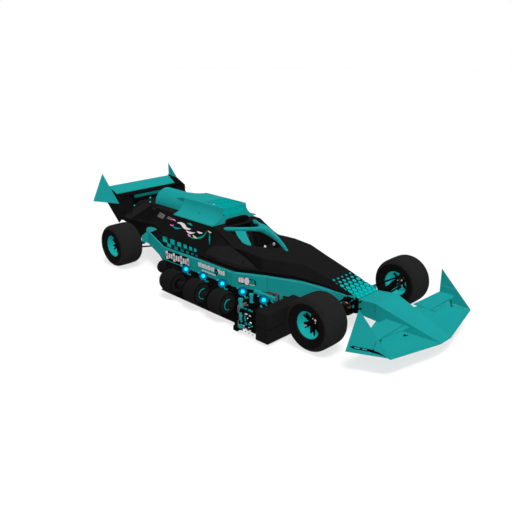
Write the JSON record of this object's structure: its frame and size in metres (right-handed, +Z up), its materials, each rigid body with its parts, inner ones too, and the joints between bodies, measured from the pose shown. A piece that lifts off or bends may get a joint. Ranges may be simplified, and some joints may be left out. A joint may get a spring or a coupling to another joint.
{
  "type": "formula racing car",
  "caption": "Open-wheel single-seat racing car with wedge endplates, halo, low-poly body, side drums and steered front wheels.",
  "frame": {"origin": "on the ground, under the middle of the car's overall box", "axes": "+X towards the nose, +Y to the car's left, +Z up"},
  "size_m": [5.45, 2.267, 1.204],
  "materials": {
    "paint_teal": "gloss",
    "paint_black": "satin",
    "floor_black": "matte",
    "tyre_rubber": "matte",
    "rim_teal": "gloss",
    "wheel_black": "satin",
    "upright_metal": "satin",
    "arm_black": "satin",
    "lamp_cyan": "gloss",
    "padding_black": "matte",
    "cast_block": "cast"
  },
  "bodies": {
    "chassis": {"engine_block": "cast_block", "engine_cover": "paint_teal", "feed_pipe": "paint_teal", "feed_pipe_arms": "arm_black", "floor": "floor_black", "front_endplates": "paint_teal", "front_flaps": "paint_teal", "front_wing": "paint_teal", "front_wishbones": "arm_black", "halo": "paint_teal", "headrest": "padding_black", "intake_grille": "paint_teal", "lamp_carriers": "arm_black", "monocoque": "paint_black", "nose_cone": "paint_teal", "rack_clamps": "upright_metal", "rack_pipes": "paint_teal", "rear_cowl": "paint_teal", "rear_endplates": "paint_teal", "rear_light_bar": "paint_teal", "rear_lower_wing": "paint_black", "rear_pillars": "paint_black", "rear_uprights": "upright_metal", "rear_wing": "paint_teal", "rear_wishbones": "arm_black", "seat": "padding_black", "side_box": "paint_black", "side_lamps": "lamp_cyan", "side_rail_left": "paint_teal", "side_rail_right": "paint_teal", "side_tanks_left": "paint_black", "side_tanks_right": "paint_black", "sidepod_left": "paint_black", "sidepod_right": "paint_black", "steering_wheel": "paint_black", "tail_body": "paint_black", "tank_collars": "paint_teal", "tank_pylons": "upright_metal", "valve_rack": "paint_black"},
    "knuckle_left": {"front_knuckle_left": "upright_metal"},
    "wheel_front_left": {"tyre_front_left": "tyre_rubber", "rim_front_left": "rim_teal", "wheel_spider_front_left": "wheel_black"},
    "wheel_rear_left": {"tyre_rear_left": "tyre_rubber", "rim_rear_left": "rim_teal", "wheel_spider_rear_left": "wheel_black"},
    "knuckle_right": {"front_knuckle_right": "upright_metal"},
    "wheel_front_right": {"tyre_front_right": "tyre_rubber", "rim_front_right": "rim_teal", "wheel_spider_front_right": "wheel_black"},
    "wheel_rear_right": {"tyre_rear_right": "tyre_rubber", "rim_rear_right": "rim_teal", "wheel_spider_rear_right": "wheel_black"}
  },
  "joints": [
    {"name": "steer_left", "type": "hinge", "parent": "chassis", "child": "knuckle_left", "pos_m": [1.66, 0.8465, 0.3025], "axis": [0, 0, 1], "range_deg": [-15, 15]},
    {"name": "steer_right", "type": "hinge", "parent": "chassis", "child": "knuckle_right", "pos_m": [1.66, -0.7035, 0.3025], "axis": [0, 0, 1], "range_deg": [-15, 15]},
    {"name": "spin_front_left", "type": "hinge", "parent": "knuckle_left", "child": "wheel_front_left", "pos_m": [1.66, 0.8925, 0.3025], "axis": [0, 1, 0], "continuous": true},
    {"name": "spin_front_right", "type": "hinge", "parent": "knuckle_right", "child": "wheel_front_right", "pos_m": [1.66, -0.7495, 0.3025], "axis": [0, 1, 0], "continuous": true},
    {"name": "spin_rear_left", "type": "hinge", "parent": "chassis", "child": "wheel_rear_left", "pos_m": [-2.01, 0.8925, 0.3025], "axis": [0, 1, 0], "continuous": true},
    {"name": "spin_rear_right", "type": "hinge", "parent": "chassis", "child": "wheel_rear_right", "pos_m": [-2.01, -0.7495, 0.3025], "axis": [0, 1, 0], "continuous": true}
  ],
  "couplings": [
    {"joint": "steer_right", "follows": "steer_left", "ratio": 1}
  ]
}
